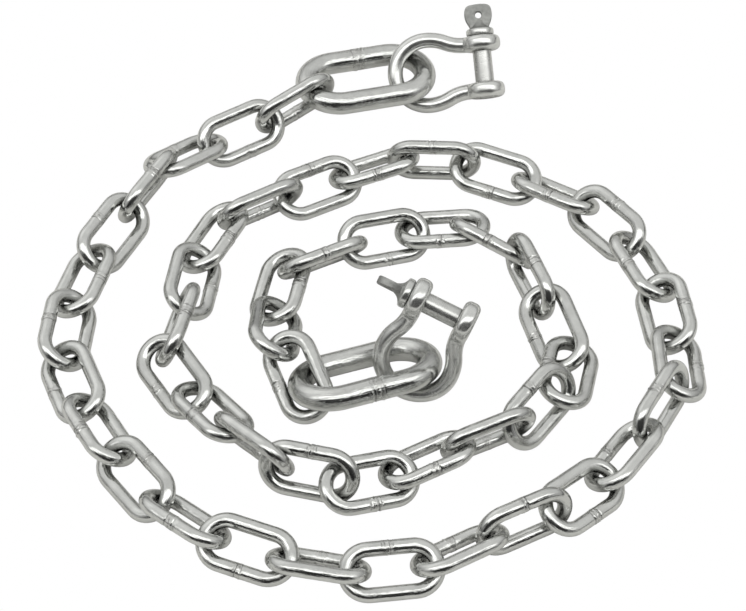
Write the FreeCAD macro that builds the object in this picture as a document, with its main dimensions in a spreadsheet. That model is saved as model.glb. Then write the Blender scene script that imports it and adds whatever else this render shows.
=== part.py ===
# Anchor chain lead: fifty short welded links laid out in a loose spiral,
# a longer and thicker end link at each end, and a bow shackle with its pin
# on each end link.
#
# Frame: millimetres, +Z up, ground at z = 0, origin on the ground under the
# middle of the coil.  Every piece is modelled in its own local frame and then
# placed by the layout table.
#
# Local frames
#   link      centreline in the XY plane, long axis along X, centre at origin;
#             +X points along the chain towards the inner end
#   bow       centreline in the XY plane, centre of the crown arc at origin,
#             legs running towards +X, pin axis parallel to Y
#   pin       shaft axis along Z, middle of the shaft at origin, head at +Z,
#             flat thumb tab in the XZ plane
import FreeCAD, Part
import math
import os
import Sketcher
from FreeCAD import Placement, Rotation, Vector

# ---------------------------------------------------------------- dimensions
# alias, value (mm unless noted), meaning
DIMS = [
    ("link_wire", 6.0, "wire diameter of a small link"),
    ("link_crown", 9.0, "centreline radius of a small link's round ends"),
    ("link_half", 9.0, "half the straight side of a small link"),
    ("link_bead", 0.35, "height of the weld bead above the wire"),
    ("link_bead_half", 2.6, "half length of the weld bead"),
    ("endlink_wire", 10.0, "wire diameter of an end link"),
    ("endlink_crown", 14.8, "centreline radius of an end link's round ends"),
    ("endlink_half", 12.85, "half the straight side of an end link"),
    ("endlink_bead", 0.4, "height of the weld bead above the wire"),
    ("endlink_bead_half", 4.2, "half length of the weld bead"),
    ("bead_sink", 0.25, "depth of every weld bead's ends below the wire's surface"),
    ("bow_wire", 7.0, "wire diameter of the bow"),
    ("bow_crown", 15.0, "centreline radius of the bow's crown"),
    ("bow_reach", 25.6, "crown centre to pin axis"),
    ("leg_inset", 0.42, "leg end to pin axis, as a share of the ear's diameter"),
    ("ear_mid", 10.75, "middle of an ear from the bow's centre plane"),
    ("ear_thick", 7.0, "thickness of an ear"),
    ("ear_dia", 17.6, "outside diameter of an ear"),
    ("ear_round", 2.2, "rounding of an ear's rim"),
    ("pin_dia", 8.5, "diameter of the pin's shaft"),
    ("pin_gap", 0.05, "radial clearance of the pin in the ears"),
    ("pin_chamfer", 0.8, "chamfer at the tip of the pin's shaft"),
    ("collar_dia", 12.6, "diameter of the pin's collar"),
    ("collar_thick", 3.2, "thickness of the pin's collar"),
    ("collar_gap", 0.05, "play between collar and ear"),
    ("collar_round", 1.0, "rounding of the collar's rim"),
    ("tab_wide", 12.6, "width of the thumb tab"),
    ("tab_high", 11.4, "height of the thumb tab above the collar"),
    ("tab_root", 1.2, "depth of the thumb tab's foot inside the collar"),
    ("tab_thick", 3.2, "thickness of the thumb tab"),
    ("tab_round", 0.9, "rounding of the thumb tab's rim"),
    ("tab_hole", 3.0, "diameter of the hole through the thumb tab"),
    ("tab_hole_up", 6.2, "hole centre above the collar"),
    ("neck_dia", 9.4, "diameter of the neck where it leaves the collar"),
    ("neck_top", 3.0, "diameter of the neck where it runs into the tab"),
    ("neck_high", 4.2, "height of the neck above the collar"),
]

# small links with the weld bead on their +Y side; all other links have it on -Y
PLUS_Y_BEADS = {"link_%02d" % n for n in (
    1, 2, 4, 6, 10, 13, 14, 15, 16, 18, 19, 22, 24, 25, 26, 27, 30, 31,
    32, 35, 36, 39, 40, 41, 42, 44, 45, 46, 47, 48, 49)}

# ------------------------------------------------------------------- layout
# name, kind (L small link, E end link, B bow, P pin), x, y, z (mm) of the
# local origin, then yaw, pitch, roll (degrees)
LAYOUT = [
    ("end_link_outer", "E", -2.534, 124.252, 13.608, -163.831, -3.519, 5.432),
    ("link_01", "L", -34.633, 107.932, 14.168, -146.787, 9.154, -102.611),
    ("link_02", "L", -58.629, 92.990, 10.108, -151.848, 3.958, -42.860),
    ("link_03", "L", -82.794, 78.944, 10.324, -138.960, -9.072, 22.642),
    ("link_04", "L", -98.209, 58.332, 12.820, -120.289, 3.096, 71.576),
    ("link_05", "L", -111.883, 33.174, 9.593, -118.707, 2.791, -40.069),
    ("link_06", "L", -123.098, 7.706, 7.743, -106.075, -0.554, 25.153),
    ("link_07", "L", -127.457, -20.393, 8.796, -94.489, -1.455, -35.415),
    ("link_08", "L", -122.947, -47.465, 7.790, -67.580, -1.937, 27.318),
    ("link_09", "L", -110.132, -72.609, 8.788, -58.838, -1.210, -33.925),
    ("link_10", "L", -93.780, -96.762, 8.482, -51.464, 0.490, 34.149),
    ("link_11", "L", -72.972, -117.191, 9.826, -37.620, -1.890, -39.217),
    ("link_12", "L", -48.146, -130.956, 8.960, -20.151, 1.472, 21.948),
    ("link_13", "L", -20.432, -138.349, 9.072, -10.723, -0.010, -39.474),
    ("link_14", "L", 7.962, -140.335, 8.683, 5.455, -1.508, 21.577),
    ("link_15", "L", 34.454, -131.879, 9.930, 29.091, 1.234, -37.742),
    ("link_16", "L", 59.783, -120.142, 12.600, 25.344, -2.702, 78.939),
    ("link_17", "L", 83.263, -106.313, 9.479, 42.070, 8.051, 26.515),
    ("link_18", "L", 101.666, -85.100, 8.803, 52.665, -2.379, -33.811),
    ("link_19", "L", 117.839, -62.952, 12.606, 59.026, -4.476, 71.963),
    ("link_20", "L", 127.096, -39.110, 9.714, 90.555, 6.834, 26.604),
    ("link_21", "L", 124.456, -11.064, 8.294, 97.376, 0.157, -30.861),
    ("link_22", "L", 116.914, 15.615, 7.808, 112.987, 0.077, 29.569),
    ("link_23", "L", 102.441, 39.035, 9.703, 128.589, 0.960, -40.354),
    ("link_24", "L", 81.041, 56.900, 9.182, 149.030, 1.295, 36.438),
    ("link_25", "L", 54.987, 66.737, 11.332, 162.445, -6.317, -22.684),
    ("link_26", "L", 27.672, 72.921, 13.566, 173.821, 4.314, 84.768),
    ("link_27", "L", 1.227, 71.257, 10.436, -165.552, 9.925, 27.528),
    ("link_28", "L", -23.765, 60.625, 8.878, -152.058, -0.902, -25.409),
    ("link_29", "L", -48.535, 47.908, 12.012, -149.533, -0.678, 71.886),
    ("link_30", "L", -68.864, 32.155, 8.039, -118.073, 4.397, 23.978),
    ("link_31", "L", -76.151, 6.166, 9.239, -97.297, -4.505, -34.029),
    ("link_32", "L", -80.766, -21.294, 13.351, -103.059, -0.839, 65.593),
    ("link_33", "L", -81.143, -45.241, 8.988, -55.789, 4.640, 27.283),
    ("link_34", "L", -64.567, -64.715, 10.307, -51.877, -9.387, -20.699),
    ("link_35", "L", -46.881, -83.160, 13.535, -43.050, -5.783, -71.259),
    ("link_36", "L", -24.686, -95.742, 11.730, -14.825, -2.702, 62.223),
    ("link_37", "L", -0.646, -98.608, 8.324, 17.792, 7.408, 21.929),
    ("link_38", "L", 22.434, -87.914, 8.988, 21.758, -10.151, -24.900),
    ("link_39", "L", 47.090, -77.839, 12.777, 23.049, -4.191, -77.235),
    ("link_40", "L", 68.190, -62.988, 11.854, 51.306, -5.932, 54.273),
    ("link_41", "L", 81.262, -43.358, 9.032, 77.539, 10.581, 15.344),
    ("link_42", "L", 76.492, -20.295, 9.661, 109.700, -11.311, -28.323),
    ("link_43", "L", 67.450, 4.578, 14.153, 111.191, -4.984, -80.678),
    ("link_44", "L", 52.274, 24.925, 12.380, 148.335, -5.250, 52.930),
    ("link_45", "L", 30.883, 35.170, 10.060, 176.870, 8.596, 12.779),
    ("link_46", "L", 5.528, 29.958, 9.572, -162.189, -5.388, -36.345),
    ("link_47", "L", -20.849, 17.820, 11.037, -153.802, -0.021, 58.580),
    ("link_48", "L", -38.618, 4.421, 7.424, -101.866, 2.078, 22.340),
    ("link_49", "L", -39.962, -22.064, 11.752, -92.290, -19.819, -31.293),
    ("link_50", "L", -30.050, -46.708, 10.494, -66.840, 16.331, 26.561),
    ("end_link_inner", "E", -2.473, -46.109, 11.637, 18.672, 0.812, -24.351),
    ("shackle_bow_outer", "B", 25.974, 128.321, 13.350, 2.045, -6.833, 38.794),
    ("shackle_pin_outer", "P", 51.376, 129.228, 16.396, 3.821, -4.626, -51.383),
    ("shackle_bow_inner", "B", 18.614, -45.207, 19.067, 39.863, -59.475, 32.500),
    ("shackle_pin_inner", "P", 28.595, -36.873, 41.119, -88.907, -53.420, 62.746),
]
# sheet column and alias ending of each layout number
LAYOUT_COLUMNS = (("D", "px"), ("E", "py"), ("F", "pz"),
                  ("G", "yaw"), ("H", "pitch"), ("I", "roll"))

# --------------------------------------------------------------------- sheet
doc = FreeCAD.newDocument("AnchorChainLead")
sheet = doc.addObject("Spreadsheet::Sheet", "Dimensions")
sheet.Label = "Dimensions"
for row, (alias, value, meaning) in enumerate(DIMS, start=1):
    sheet.set("A%d" % row, alias)
    sheet.set("B%d" % row, "%g" % value)
    sheet.set("C%d" % row, meaning)
    sheet.setAlias("B%d" % row, alias)
for row, (name, _, *numbers) in enumerate(LAYOUT, start=len(DIMS) + 3):
    sheet.set("A%d" % row, name)
    for (column, ending), value in zip(LAYOUT_COLUMNS, numbers):
        sheet.set("%s%d" % (column, row), "%.3f" % value)
        sheet.setAlias("%s%d" % (column, row), "%s_%s" % (name, ending))
doc.recompute()


def dim(alias):
    return float(sheet.get(alias))


# ------------------------------------------------------------ sketch helpers
# how sketch constraints number the points of an edge and the sketch's axes
START, END, CENTRE = 1, 2, 3
X_AXIS, Y_AXIS = -1, -2
ORIGIN = (-1, 1)

UP = Vector(0, 0, 1)
QUARTER = math.pi / 2
# from a square corner to the middle of its rounding, along each side, per unit radius
ARC_MID = 1 - math.sqrt(0.5)


def new_body(label):
    body = doc.addObject("PartDesign::Body", label)
    body.Label = label
    return body


def sketch_on(body, name, role, offset=0):
    """New sketch on an origin plane of the body, moved along the plane's normal."""
    sketch = body.newObject("Sketcher::SketchObject", name)
    plane = next(f for f in body.Origin.OriginFeatures if f.Role == role)
    sketch.AttachmentSupport = (plane, [""])
    sketch.MapMode = "FlatFace"
    if offset:
        sketch.AttachmentOffset = Placement(Vector(0, 0, offset), Rotation())
    return sketch


def constrain(sketch, *constraint):
    return sketch.addConstraint(Sketcher.Constraint(*constraint))


def drive(sketch, expression, *constraint):
    """Add a dimension and bind it to the sheet."""
    index = constrain(sketch, *constraint)
    sketch.setExpression("Constraints[%d]" % index, expression)


def arc(x, y, radius, start, end):
    return Part.ArcOfCircle(Part.Circle(Vector(x, y, 0), UP, radius), start, end)


def outline(points, steps):
    """Closed outline: L is a line to the next point, A an arc through the next two."""
    ring = [Vector(x, y, 0) for x, y in points + points[:1]]
    edges = []
    at = 0
    for step in steps:
        if step == "L":
            edges.append(Part.LineSegment(ring[at], ring[at + 1]))
            at += 1
        else:
            edges.append(Part.Arc(ring[at], ring[at + 1], ring[at + 2]))
            at += 2
    return edges


def add_blocked(sketch, edges):
    for edge in sketch.addGeometry(edges):
        constrain(sketch, "Block", edge)


def sweep(body, name, section, path):
    pipe = body.newObject("PartDesign::AdditivePipe", name)
    pipe.Profile = section
    pipe.Spine = (path, [])
    pipe.Transition = "Transformed"


def full_turn(body, feature, name, profile, axis):
    """Turn a profile once round one of its own lines or axes."""
    turn = body.newObject("PartDesign::" + feature, name)
    turn.Profile = profile
    turn.ReferenceAxis = (profile, [axis])
    turn.Angle = 360.0
    return turn


# --------------------------------------------------------------------- links
def link_path(body, name, prefix):
    """Closed centreline of a link: two straight sides and two half circles."""
    half, crown = dim(prefix + "_half"), dim(prefix + "_crown")
    half_ref = "Dimensions.%s_half" % prefix
    path = sketch_on(body, name, "XY_Plane")
    top = path.addGeometry(Part.LineSegment(Vector(-half, crown, 0), Vector(half, crown, 0)))
    low = path.addGeometry(Part.LineSegment(Vector(half, -crown, 0), Vector(-half, -crown, 0)))
    right = path.addGeometry(arc(half, 0, crown, -QUARTER, QUARTER))
    left = path.addGeometry(arc(-half, 0, crown, QUARTER, 3 * QUARTER))
    constrain(path, "Tangent", top, END, right, END)
    constrain(path, "Tangent", low, START, right, START)
    constrain(path, "Tangent", top, START, left, START)
    constrain(path, "Tangent", low, END, left, END)
    constrain(path, "PointOnObject", right, CENTRE, X_AXIS)
    constrain(path, "PointOnObject", left, CENTRE, X_AXIS)
    drive(path, "Dimensions.%s_crown" % prefix, "Radius", right, crown)
    drive(path, half_ref, "DistanceX", *ORIGIN, right, CENTRE, half)
    drive(path, half_ref, "DistanceX", left, CENTRE, *ORIGIN, half)
    return path


def make_link(label, prefix):
    """Link sized by the dimensions whose aliases start with the prefix."""
    crown, wire_radius = dim(prefix + "_crown"), dim(prefix + "_wire") / 2
    body = new_body(label)
    path = link_path(body, label + "_path", prefix)

    # round section across the middle of the +Y straight side
    section = sketch_on(body, label + "_section", "YZ_Plane")
    ring = section.addGeometry(Part.Circle(Vector(crown, 0, 0), UP, wire_radius))
    drive(section, "Dimensions.%s_wire / 2" % prefix, "Radius", ring, wire_radius)
    constrain(section, "PointOnObject", ring, CENTRE, X_AXIS)
    drive(section, "Dimensions.%s_crown" % prefix, "DistanceX", *ORIGIN, ring, CENTRE, crown)
    sweep(body, label + "_wire", section, path)

    # weld bead: a low barrel turned about the straight side it sits on
    side = 1 if label in PLUS_Y_BEADS else -1
    bead_half = dim(prefix + "_bead_half")
    y_axis = side * crown
    y_end = y_axis + side * (wire_radius - dim("bead_sink"))
    y_crest = y_axis + side * (wire_radius + dim(prefix + "_bead"))
    profile = sketch_on(body, label + "_bead_profile", "XY_Plane")
    add_blocked(profile, outline([
        (-bead_half, y_axis), (-bead_half, y_end), (0, y_crest),
        (bead_half, y_end), (bead_half, y_axis)], "LALL"))
    # the profile's edges are built here, since one of them is the turning axis
    profile.recompute()
    body.Tip = full_turn(body, "Revolution", label + "_bead", profile, "Edge4")
    return body


# ---------------------------------------------------------------- shackle bow
def bow_path(body, name, leg):
    """Half circle for the crown, then an S of two equal arcs down each leg."""
    crown_radius, ear_mid = dim("bow_crown"), dim("ear_mid")
    step_in = crown_radius - ear_mid
    bend = ((leg / 2) ** 2 + (step_in / 2) ** 2) / step_in
    angle = math.asin(leg / 2 / bend)
    leg_ref = "(Dimensions.bow_reach - Dimensions.leg_inset * Dimensions.ear_dia)"
    step_ref = "(Dimensions.bow_crown - Dimensions.ear_mid)"
    bend_ref = "(((%s / 2) ^ 2 + (%s / 2) ^ 2) / %s)" % (leg_ref, step_ref, step_ref)

    path = sketch_on(body, name, "XY_Plane")
    crown = path.addGeometry(arc(0, 0, crown_radius, QUARTER, 3 * QUARTER))
    # upper leg on +Y, lower leg on -Y; each leaves the crown and ends at the ear
    upper_crown = path.addGeometry(
        arc(0, crown_radius - bend, bend, QUARTER - angle, QUARTER))
    upper_ear = path.addGeometry(
        arc(leg, ear_mid + bend, bend, 3 * QUARTER - angle, 3 * QUARTER))
    lower_crown = path.addGeometry(
        arc(0, bend - crown_radius, bend, 3 * QUARTER, 3 * QUARTER + angle))
    lower_ear = path.addGeometry(
        arc(leg, -ear_mid - bend, bend, QUARTER, QUARTER + angle))

    constrain(path, "Coincident", crown, CENTRE, *ORIGIN)
    drive(path, "Dimensions.bow_crown", "Radius", crown, crown_radius)
    constrain(path, "Coincident", upper_crown, END, crown, START)
    constrain(path, "Coincident", lower_crown, START, crown, END)
    constrain(path, "Coincident", upper_crown, START, upper_ear, START)
    constrain(path, "Coincident", lower_crown, END, lower_ear, END)
    drive(path, leg_ref, "DistanceX", *ORIGIN, upper_ear, END, leg)
    drive(path, "Dimensions.ear_mid", "DistanceY", *ORIGIN, upper_ear, END, ear_mid)
    drive(path, leg_ref, "DistanceX", *ORIGIN, lower_ear, START, leg)
    drive(path, "Dimensions.ear_mid", "DistanceY", lower_ear, START, *ORIGIN, ear_mid)
    for edge in (upper_crown, upper_ear, lower_crown, lower_ear):
        drive(path, bend_ref, "Radius", edge, bend)
    return path


def add_ears(body, name):
    """Two rounded discs turned about the pin axis."""
    reach, mid, thick = dim("bow_reach"), dim("ear_mid"), dim("ear_thick")
    rounding = dim("ear_round")
    corner = rounding * ARC_MID
    rim = reach + dim("ear_dia") / 2
    profile = sketch_on(body, name + "_ear_profile", "XY_Plane")
    for side in (1, -1):
        y_in = side * (mid - thick / 2)
        y_out = side * (mid + thick / 2)
        add_blocked(profile, outline([
            (reach, y_in), (rim - rounding, y_in),
            (rim - corner, y_in + side * corner), (rim, y_in + side * rounding),
            (rim, y_out - side * rounding), (rim - corner, y_out - side * corner),
            (rim - rounding, y_out), (reach, y_out)], "LALALL"))
    axis = profile.addGeometry(
        Part.LineSegment(Vector(reach, -mid, 0), Vector(reach, mid, 0)), True)
    constrain(profile, "Block", axis)
    return full_turn(body, "Revolution", name + "_ears", profile, "Axis0")


def cut_bore(body, name):
    """One bore through both ears for the pin."""
    reach = dim("bow_reach")
    radius = dim("pin_dia") / 2 + dim("pin_gap")
    y_end = dim("ear_mid") + dim("ear_thick")
    profile = sketch_on(body, name + "_bore_profile", "XY_Plane")
    edges = profile.addGeometry(outline([
        (reach, -y_end), (reach + radius, -y_end),
        (reach + radius, y_end), (reach, y_end)], "LLLL"))
    for n in range(4):
        constrain(profile, "Coincident", edges[n], END, edges[(n + 1) % 4], START)
    for direction, n in (("Vertical", 1), ("Vertical", 3), ("Horizontal", 0), ("Horizontal", 2)):
        constrain(profile, direction, edges[n])
    drive(profile, "Dimensions.pin_dia / 2 + Dimensions.pin_gap",
          "DistanceX", edges[0], START, edges[0], END, radius)
    drive(profile, "Dimensions.bow_reach", "DistanceX", *ORIGIN, edges[0], START, reach)
    return full_turn(body, "Groove", name + "_bore", profile, "Edge4")


def make_bow(label):
    wire_radius = dim("bow_wire") / 2
    leg = dim("bow_reach") - dim("leg_inset") * dim("ear_dia")
    body = new_body(label)
    path = bow_path(body, label + "_path", leg)

    # round section at the end of the upper leg
    section = sketch_on(body, label + "_section", "YZ_Plane", offset=leg)
    ring = section.addGeometry(Part.Circle(Vector(dim("ear_mid"), 0, 0), UP, wire_radius))
    drive(section, "Dimensions.bow_wire / 2", "Radius", ring, wire_radius)
    sweep(body, label + "_rod", section, path)

    ears = add_ears(body, label)
    doc.recompute()
    solid_volume = ears.Shape.Volume
    bore = cut_bore(body, label)
    body.Tip = bore
    doc.recompute()
    assert bore.Shape.Volume < solid_volume - 100.0, "the bore removed nothing"
    return body


# ---------------------------------------------------------------- shackle pin
def add_shaft(body, label, collar_low, collar_top):
    """Shaft, collar and hollow neck in one turned profile; x is the radius."""
    waist_share = 0.38      # height of the neck's middle point, share of its height
    waist_in = 0.5          # that point's depth inside the mean of the end radii
    shaft, collar = dim("pin_dia") / 2, dim("collar_dia") / 2
    chamfer, rounding = dim("pin_chamfer"), dim("collar_round")
    corner = rounding * ARC_MID
    neck_foot, neck_tip, neck_high = dim("neck_dia") / 2, dim("neck_top") / 2, dim("neck_high")
    tip = -(dim("ear_mid") + dim("ear_thick") / 2)
    profile = sketch_on(body, label + "_shaft_profile", "XZ_Plane")
    add_blocked(profile, outline([
        (0, tip), (shaft - chamfer, tip), (shaft, tip + chamfer), (shaft, collar_low),
        (collar - rounding, collar_low), (collar - corner, collar_low + corner),
        (collar, collar_low + rounding), (collar, collar_top - rounding),
        (collar - corner, collar_top - corner), (collar - rounding, collar_top),
        (neck_foot, collar_top),
        ((neck_foot + neck_tip) / 2 - waist_in, collar_top + waist_share * neck_high),
        (neck_tip, collar_top + neck_high), (0, collar_top + neck_high)], "LLLLALALALL"))
    full_turn(body, "Revolution", label + "_shaft", profile, "V_Axis")


def add_tab(body, label, base):
    """Thumb tab: a flat shield with rounded shoulders and a hole."""
    wide, high = dim("tab_wide") / 2, dim("tab_high")
    narrow = 0.62 * wide        # half width at foot and top
    shoulder = 0.90 * wide      # half width at the middle of each corner arc
    foot_up = 0.6               # height above the collar where the tab starts to widen
    left = [
        (-narrow, base - dim("tab_root")), (-narrow, base + foot_up),
        (-shoulder, base + 0.18 * high), (-wide, base + 0.38 * high),
        (-wide, base + 0.70 * high), (-shoulder, base + 0.90 * high),
        (-narrow, base + high)]
    right = [(-x, y) for x, y in reversed(left)]
    profile = sketch_on(body, label + "_tab_outline", "XZ_Plane")
    add_blocked(profile, outline(left + right, "LALALALALL"))

    hole_radius, hole_up = dim("tab_hole") / 2, base + dim("tab_hole_up")
    hole = profile.addGeometry(Part.Circle(Vector(0, hole_up, 0), UP, hole_radius))
    drive(profile, "Dimensions.tab_hole / 2", "Radius", hole, hole_radius)
    constrain(profile, "PointOnObject", hole, CENTRE, Y_AXIS)
    drive(profile,
          "Dimensions.ear_mid + Dimensions.ear_thick / 2 + Dimensions.collar_gap"
          " + Dimensions.collar_thick + Dimensions.tab_hole_up",
          "DistanceY", *ORIGIN, hole, CENTRE, hole_up)

    pad = body.newObject("PartDesign::Pad", label + "_tab")
    pad.Profile = profile
    pad.Length = dim("tab_thick")
    pad.setExpression("Length", "Dimensions.tab_thick")
    pad.Midplane = True
    return pad


def tab_rim(shape, base):
    """Names of the outline edges on both flat faces of the tab, without the hole."""
    lowest = base + 0.5
    tolerance = 1e-3
    names = []
    for n, edge in enumerate(shape.Edges, start=1):
        middle = edge.valueAt((edge.FirstParameter + edge.LastParameter) / 2)
        on_face = abs(abs(middle.y) - dim("tab_thick") / 2) < tolerance
        is_circle = isinstance(edge.Curve, Part.Circle)
        is_hole = is_circle and abs(edge.Curve.Radius - dim("tab_hole") / 2) < tolerance
        is_outline = is_circle or isinstance(edge.Curve, Part.Line)
        if on_face and middle.z > lowest and is_outline and not is_hole:
            names.append("Edge%d" % n)
    return names


def make_pin(label):
    collar_low = dim("ear_mid") + dim("ear_thick") / 2 + dim("collar_gap")
    collar_top = collar_low + dim("collar_thick")
    body = new_body(label)
    add_shaft(body, label, collar_low, collar_top)
    pad = add_tab(body, label, collar_top)
    body.Tip = pad
    doc.recompute()

    soft = body.newObject("PartDesign::Fillet", label + "_soft")
    soft.Base = (pad, tab_rim(pad.Shape, collar_top))
    soft.Radius = dim("tab_round")
    soft.setExpression("Radius", "Dimensions.tab_round")
    doc.recompute()
    # guards against a rounding that cannot be built: the tab then stays sharp
    failed = "Invalid" in soft.State or "Error" in soft.State
    if failed or not soft.Shape.isValid() or soft.Shape.isNull():
        doc.removeObject(soft.Name)
        body.Tip = pad
    else:
        body.Tip = soft
    return body


# ---------------------------------------------------------------------- build
MAKERS = {
    "L": lambda label: make_link(label, "link"),
    "E": lambda label: make_link(label, "endlink"),
    "B": make_bow,
    "P": make_pin,
}
pieces = [MAKERS[kind](name) for name, kind, *_ in LAYOUT]
doc.recompute()

for piece in pieces:
    px, py, pz, yaw, pitch, roll = (
        dim("%s_%s" % (piece.Label, ending)) for _, ending in LAYOUT_COLUMNS)
    piece.Placement = Placement(Vector(px, py, pz), Rotation(yaw, pitch, roll))
doc.recompute()

# ---------------------------------------------------------------------- check
for obj in doc.Objects:
    if "Invalid" in obj.State or "Error" in obj.State:
        raise RuntimeError("%s is in state %s" % (obj.Name, obj.State))
for piece in pieces:
    shape = piece.Shape
    if shape.isNull() or not shape.isValid() or len(shape.Solids) != 1:
        raise RuntimeError("%s has no valid single solid" % piece.Label)

# ---------------------------------------------------------------------- write
os.makedirs("parts", exist_ok=True)
for piece in pieces:
    piece.Shape.exportStep(os.path.join("parts", piece.Label + ".step"))
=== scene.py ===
# Anchor chain lead in polished stainless steel: fifty welded links, a heavier
# link at each end, and a forged bow shackle with a screw pin on each end link.
# The chain lies on the floor (z = 0) as a spiral around the origin. Its outer
# end is at the back (+Y), its inner end inside the coil. The camera looks from
# the front (-Y), above. Pieces are modelled in millimetres about their own
# origins, then scaled to metres and placed.
import bpy
import bmesh
import math
import numpy as np
from contextlib import contextmanager
from types import SimpleNamespace
from mathutils import Matrix, Vector


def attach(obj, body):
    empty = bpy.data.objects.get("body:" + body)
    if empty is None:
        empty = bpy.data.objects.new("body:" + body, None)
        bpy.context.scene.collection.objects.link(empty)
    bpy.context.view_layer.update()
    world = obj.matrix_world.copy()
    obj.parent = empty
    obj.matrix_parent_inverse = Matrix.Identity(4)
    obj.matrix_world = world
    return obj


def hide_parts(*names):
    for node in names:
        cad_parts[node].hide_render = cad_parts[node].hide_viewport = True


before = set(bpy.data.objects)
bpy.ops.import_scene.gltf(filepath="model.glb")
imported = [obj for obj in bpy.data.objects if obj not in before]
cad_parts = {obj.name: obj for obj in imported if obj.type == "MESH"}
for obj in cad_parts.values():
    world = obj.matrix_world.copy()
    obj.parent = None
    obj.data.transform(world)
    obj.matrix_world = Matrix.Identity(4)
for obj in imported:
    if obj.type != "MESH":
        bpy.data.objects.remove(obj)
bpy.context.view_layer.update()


MM = 0.001

# node, kind (L link, E end link, B shackle bow, P shackle pin),
# x, y, z in mm, yaw, pitch, roll in degrees
LAYOUT = [
    ("end_link_outer", "E", -2.534, 124.252, 13.608, -163.831, -3.519, 5.432),
    ("link_01", "L", -34.633, 107.932, 14.168, -146.787, 9.154, -102.611),
    ("link_02", "L", -58.629, 92.990, 10.108, -151.848, 3.958, -42.860),
    ("link_03", "L", -82.794, 78.944, 10.324, -138.960, -9.072, 22.642),
    ("link_04", "L", -98.209, 58.332, 12.820, -120.289, 3.096, 71.576),
    ("link_05", "L", -111.883, 33.174, 9.593, -118.707, 2.791, -40.069),
    ("link_06", "L", -123.098, 7.706, 7.743, -106.075, -0.554, 25.153),
    ("link_07", "L", -127.457, -20.393, 8.796, -94.489, -1.455, -35.415),
    ("link_08", "L", -122.947, -47.465, 7.790, -67.580, -1.937, 27.318),
    ("link_09", "L", -110.132, -72.609, 8.788, -58.838, -1.210, -33.925),
    ("link_10", "L", -93.780, -96.762, 8.482, -51.464, 0.490, 34.149),
    ("link_11", "L", -72.972, -117.191, 9.826, -37.620, -1.890, -39.217),
    ("link_12", "L", -48.146, -130.956, 8.960, -20.151, 1.472, 21.948),
    ("link_13", "L", -20.432, -138.349, 9.072, -10.723, -0.010, -39.474),
    ("link_14", "L", 7.962, -140.335, 8.683, 5.455, -1.508, 21.577),
    ("link_15", "L", 34.454, -131.879, 9.930, 29.091, 1.234, -37.742),
    ("link_16", "L", 59.783, -120.142, 12.600, 25.344, -2.702, 78.939),
    ("link_17", "L", 83.263, -106.313, 9.479, 42.070, 8.051, 26.515),
    ("link_18", "L", 101.666, -85.100, 8.803, 52.665, -2.379, -33.811),
    ("link_19", "L", 117.839, -62.952, 12.606, 59.026, -4.476, 71.963),
    ("link_20", "L", 127.096, -39.110, 9.714, 90.555, 6.834, 26.604),
    ("link_21", "L", 124.456, -11.064, 8.294, 97.376, 0.157, -30.861),
    ("link_22", "L", 116.914, 15.615, 7.808, 112.987, 0.077, 29.569),
    ("link_23", "L", 102.441, 39.035, 9.703, 128.589, 0.960, -40.354),
    ("link_24", "L", 81.041, 56.900, 9.182, 149.030, 1.295, 36.438),
    ("link_25", "L", 54.987, 66.737, 11.332, 162.445, -6.317, -22.684),
    ("link_26", "L", 27.672, 72.921, 13.566, 173.821, 4.314, 84.768),
    ("link_27", "L", 1.227, 71.257, 10.436, -165.552, 9.925, 27.528),
    ("link_28", "L", -23.765, 60.625, 8.878, -152.058, -0.902, -25.409),
    ("link_29", "L", -48.535, 47.908, 12.012, -149.533, -0.678, 71.886),
    ("link_30", "L", -68.864, 32.155, 8.039, -118.073, 4.397, 23.978),
    ("link_31", "L", -76.151, 6.166, 9.239, -97.297, -4.505, -34.029),
    ("link_32", "L", -80.766, -21.294, 13.351, -103.059, -0.839, 65.593),
    ("link_33", "L", -81.143, -45.241, 8.988, -55.789, 4.640, 27.283),
    ("link_34", "L", -64.567, -64.715, 10.307, -51.877, -9.387, -20.699),
    ("link_35", "L", -46.881, -83.160, 13.535, -43.050, -5.783, -71.259),
    ("link_36", "L", -24.686, -95.742, 11.730, -14.825, -2.702, 62.223),
    ("link_37", "L", -0.646, -98.608, 8.324, 17.792, 7.408, 21.929),
    ("link_38", "L", 22.434, -87.914, 8.988, 21.758, -10.151, -24.900),
    ("link_39", "L", 47.090, -77.839, 12.777, 23.049, -4.191, -77.235),
    ("link_40", "L", 68.190, -62.988, 11.854, 51.306, -5.932, 54.273),
    ("link_41", "L", 81.262, -43.358, 9.032, 77.539, 10.581, 15.344),
    ("link_42", "L", 76.492, -20.295, 9.661, 109.700, -11.311, -28.323),
    ("link_43", "L", 67.450, 4.578, 14.153, 111.191, -4.984, -80.678),
    ("link_44", "L", 52.274, 24.925, 12.380, 148.335, -5.250, 52.930),
    ("link_45", "L", 30.883, 35.170, 10.060, 176.870, 8.596, 12.779),
    ("link_46", "L", 5.528, 29.958, 9.572, -162.189, -5.388, -36.345),
    ("link_47", "L", -20.849, 17.820, 11.037, -153.802, -0.021, 58.580),
    ("link_48", "L", -38.618, 4.421, 7.424, -101.866, 2.078, 22.340),
    ("link_49", "L", -39.962, -22.064, 11.752, -92.290, -19.819, -31.293),
    ("link_50", "L", -30.050, -46.708, 10.494, -66.840, 16.331, 26.561),
    ("end_link_inner", "E", -2.473, -46.109, 11.637, 18.672, 0.812, -24.351),
    ("shackle_bow_outer", "B", 25.974, 128.321, 13.350, 2.045, -6.833, 38.794),
    ("shackle_pin_outer", "P", 51.376, 129.228, 16.396, 3.821, -4.626, -51.383),
    ("shackle_bow_inner", "B", 18.614, -45.207, 19.067, 39.863, -59.475, 32.500),
    ("shackle_pin_inner", "P", 28.595, -36.873, 41.119, -88.907, -53.420, 62.746),
]

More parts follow.
